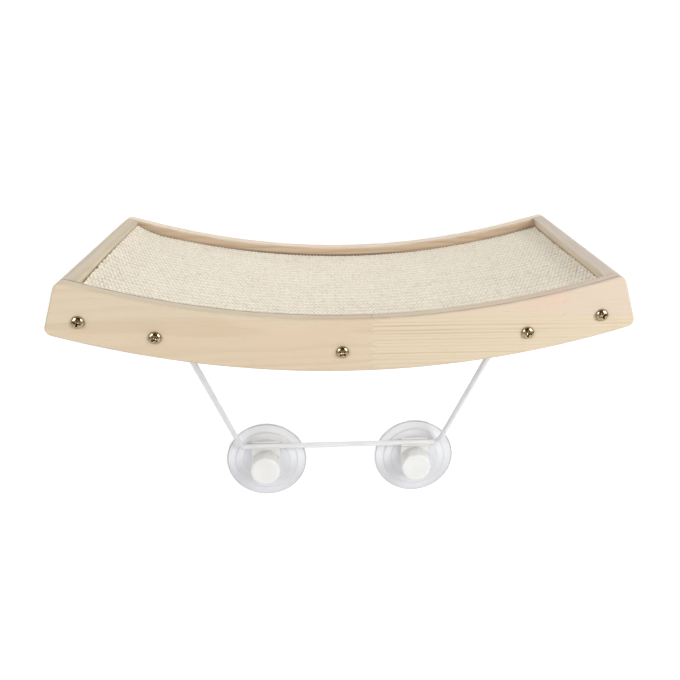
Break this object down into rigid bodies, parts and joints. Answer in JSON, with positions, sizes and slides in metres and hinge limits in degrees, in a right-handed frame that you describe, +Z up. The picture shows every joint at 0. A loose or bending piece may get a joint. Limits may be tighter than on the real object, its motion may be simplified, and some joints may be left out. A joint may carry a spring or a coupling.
{
  "type": "cat hammock",
  "caption": "Curved wooden tray bed with a recessed sisal mat, held to a window by suction cups and a folding wire support.",
  "frame": {"origin": "on the window pane's plane, on the plane of symmetry, level with the lowest point of the boards' curved top edges; the suction cups' rims touch this plane", "axes": "+X to the right seen from the room, along the tray's length; +Y into the window pane; +Z up; the tray reaches out towards -Y"},
  "size_m": [0.5264, 0.2996, 0.393],
  "materials": {
    "pine": "pale sanded pine, clear matt oil",
    "plywood": "bent birch plywood, unfinished",
    "sisal": "coarse plain weave, natural cream",
    "yellow_zinc": "yellow zinc plate, polished",
    "white_powder_coat": "white powder coat, satin",
    "zinc_steel": "bright zinc",
    "clear_vinyl": "clear soft vinyl, glossy",
    "white_plastic": "warm white moulded plastic, satin"
  },
  "bodies": {
    "tray": {"front_board": "pine", "rear_board": "pine", "end_board_left": "pine", "end_board_right": "pine", "support_bar_left": "pine", "bracket_bar_left": "pine", "support_bar_centre": "pine", "bracket_bar_right": "pine", "support_bar_right": "pine", "base_panel": "plywood", "sisal_mat": "sisal", "screw_front_1": "yellow_zinc", "screw_front_2": "yellow_zinc", "screw_front_3": "yellow_zinc", "screw_front_4": "yellow_zinc", "screw_front_5": "yellow_zinc", "screw_rear_1": "yellow_zinc", "screw_rear_2": "yellow_zinc", "screw_rear_3": "yellow_zinc", "screw_rear_4": "yellow_zinc", "screw_rear_5": "yellow_zinc", "upper_cup_left": "clear_vinyl", "upper_cup_right": "clear_vinyl", "upper_stud_left": "zinc_steel", "upper_stud_right": "zinc_steel"},
    "wire_support": {"wire_bracket": "white_powder_coat", "pin_cap_left": "white_plastic", "pin_cap_right": "white_plastic"},
    "cup_left": {"lower_cup_left": "clear_vinyl", "lower_stud_left": "zinc_steel", "lower_saddle_left": "white_plastic"},
    "cup_right": {"lower_cup_right": "clear_vinyl", "lower_stud_right": "zinc_steel", "lower_saddle_right": "white_plastic"},
    "knob_left": {"lower_knob_left": "white_plastic"},
    "knob_right": {"lower_knob_right": "white_plastic"},
    "nut_left": {"upper_nut_left": "white_plastic"},
    "nut_right": {"upper_nut_right": "white_plastic"}
  },
  "joints": [
    {"name": "bracket_fold", "type": "hinge", "parent": "tray", "child": "wire_support", "pos_m": [0, -0.1945, -0.016], "axis": [1, 0, 0], "range_deg": [-95, 27]},
    {"name": "cup_swivel_left", "type": "hinge", "parent": "wire_support", "child": "cup_left", "pos_m": [-0.1003, -0.012, -0.2766], "axis": [1, 0, 0], "range_deg": [-30, 30]},
    {"name": "cup_swivel_right", "type": "hinge", "parent": "wire_support", "child": "cup_right", "pos_m": [0.1003, -0.012, -0.2766], "axis": [1, 0, 0], "range_deg": [-30, 30]},
    {"name": "knob_turn_left", "type": "hinge", "parent": "cup_left", "child": "knob_left", "pos_m": [-0.1003, -0.024, -0.3027], "axis": [0, -1, 0], "continuous": true},
    {"name": "knob_turn_right", "type": "hinge", "parent": "cup_right", "child": "knob_right", "pos_m": [0.1003, -0.024, -0.3027], "axis": [0, -1, 0], "continuous": true},
    {"name": "nut_turn_left", "type": "hinge", "parent": "tray", "child": "nut_left", "pos_m": [-0.11, -0.038, -0.027], "axis": [0, -1, 0], "continuous": true},
    {"name": "nut_turn_right", "type": "hinge", "parent": "tray", "child": "nut_right", "pos_m": [0.11, -0.038, -0.027], "axis": [0, -1, 0], "continuous": true}
  ]
}
